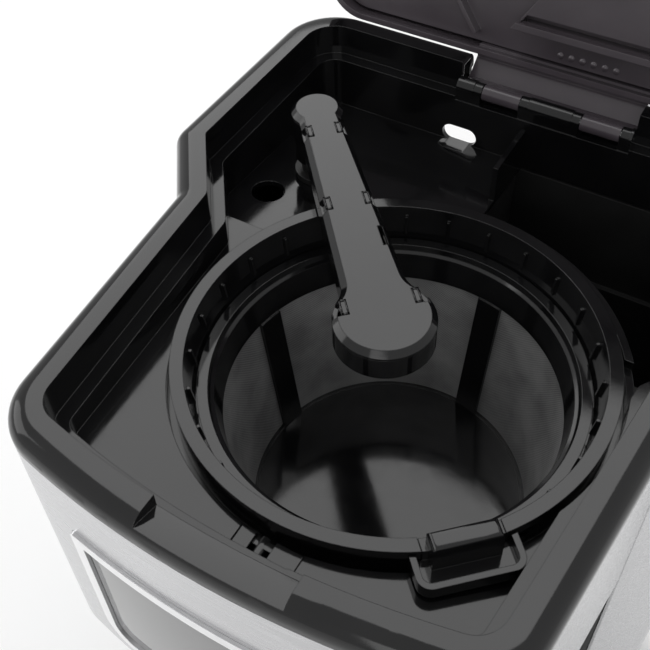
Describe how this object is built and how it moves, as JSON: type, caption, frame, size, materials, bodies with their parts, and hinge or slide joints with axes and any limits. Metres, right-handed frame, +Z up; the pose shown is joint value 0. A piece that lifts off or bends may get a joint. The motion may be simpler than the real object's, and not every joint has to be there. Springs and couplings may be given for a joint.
{
  "type": "drip coffee maker",
  "caption": "Drip coffee maker with steel front, display window, open hinged lid, swing-out spray arm, lift-out basket with mesh filter, warming plate and carafe.",
  "frame": {"origin": "centre of the flat plane that the feet stand on, under the machine's middle", "axes": "+Z up, front faces -Y, +X to the right seen from the front"},
  "size_m": [0.2142, 0.2965, 0.5277],
  "materials": {
    "black_gloss": "gloss",
    "black_satin": "satin",
    "lid_gloss": "gloss",
    "steel_panel": "satin brushed",
    "bright_trim": "polished",
    "dark_window": "gloss",
    "steel_mesh": "woven",
    "rubber": "matte",
    "silicone": "matte",
    "cast_aluminium": "cast",
    "coated_plate": "satin",
    "clear_glass": "polished",
    "plated_steel": "plated",
    "board": "satin",
    "display": "gloss"
  },
  "bodies": {
    "housing": {"top_housing": "black_gloss", "front_wrap": "steel_panel", "side_panel_left": "steel_panel", "side_panel_right": "steel_panel", "head_floor": "black_satin", "column_front": "black_gloss", "back_cover": "black_satin", "base_housing": "black_gloss", "base_trim": "steel_panel", "bottom_cover": "black_satin", "rubber_feet": "rubber", "base_screws": "plated_steel", "warming_plate": "coated_plate", "plate_gasket": "silicone", "heater_tube": "cast_aluminium", "heater_clamp": "plated_steel", "thermostat": "plated_steel", "thermal_fuses": "plated_steel", "cold_hose": "silicone", "riser_hose": "silicone", "water_tank": "black_satin", "check_valve": "silicone", "tank_strainer": "black_satin", "water_post": "black_satin", "post_seal": "silicone", "brew_basket": "black_gloss", "basket_grip": "black_gloss", "filter_frame": "black_gloss", "filter_mesh": "steel_mesh", "drip_spring": "plated_steel", "hinge_pins": "plated_steel", "display_bezel": "bright_trim", "display_glass": "dark_window", "lcd_module": "display", "control_board": "board", "power_board": "board", "cord_gland": "rubber"},
    "lid": {"lid_shell": "lid_gloss", "lid_liner": "lid_gloss"},
    "swing_arm": {"arm_trough": "black_gloss", "arm_cover": "black_gloss"},
    "carafe": {"carafe_glass": "clear_glass", "carafe_band": "bright_trim", "carafe_handle": "black_gloss"},
    "carafe_cap": {"carafe_lid": "black_gloss"},
    "valve": {"drip_valve": "black_satin", "valve_seal": "silicone"},
    "hour_button": {"hour_button": "bright_trim"},
    "minute_button": {"minute_button": "bright_trim"},
    "program_button": {"program_button": "bright_trim"},
    "power_button": {"power_button": "bright_trim"}
  },
  "joints": [
    {"name": "lid_hinge", "type": "hinge", "parent": "housing", "child": "lid", "pos_m": [0, 0.105, 0.3208], "axis": [1, 0, 0], "range_deg": [0, 104]},
    {"name": "arm_swing", "type": "hinge", "parent": "housing", "child": "swing_arm", "pos_m": [-0.0689, 0.056, 0.325], "axis": [0, 0, 1], "range_deg": [0, 50]},
    {"name": "carafe_slide", "type": "slide", "parent": "housing", "child": "carafe", "axis": [0, -1, 0], "range_m": [0, 0.18]},
    {"name": "carafe_lid_twist", "type": "hinge", "parent": "carafe", "child": "carafe_cap", "pos_m": [0.0041, -0.022, 0.195], "axis": [0, 0, 1], "range_deg": [0, 45]},
    {"name": "drip_stop", "type": "slide", "parent": "housing", "child": "valve", "axis": [0, 0, 1], "range_m": [0, 0.003], "stiffness_N_per_m": 150, "springref_m": -0.002, "deforming": ["drip_spring"]},
    {"name": "hour_button_press", "type": "slide", "parent": "housing", "child": "hour_button", "axis": [0, 1, 0], "range_m": [0, 0.0008], "stiffness_N_per_m": 1000, "springref_m": -0.0005},
    {"name": "minute_button_press", "type": "slide", "parent": "housing", "child": "minute_button", "axis": [0, 1, 0], "range_m": [0, 0.0008], "stiffness_N_per_m": 1000, "springref_m": -0.0005},
    {"name": "program_button_press", "type": "slide", "parent": "housing", "child": "program_button", "axis": [0, 1, 0], "range_m": [0, 0.0008], "stiffness_N_per_m": 1000, "springref_m": -0.0005},
    {"name": "power_button_press", "type": "slide", "parent": "housing", "child": "power_button", "axis": [0, 1, 0], "range_m": [0, 0.0008], "stiffness_N_per_m": 1000, "springref_m": -0.0005}
  ]
}
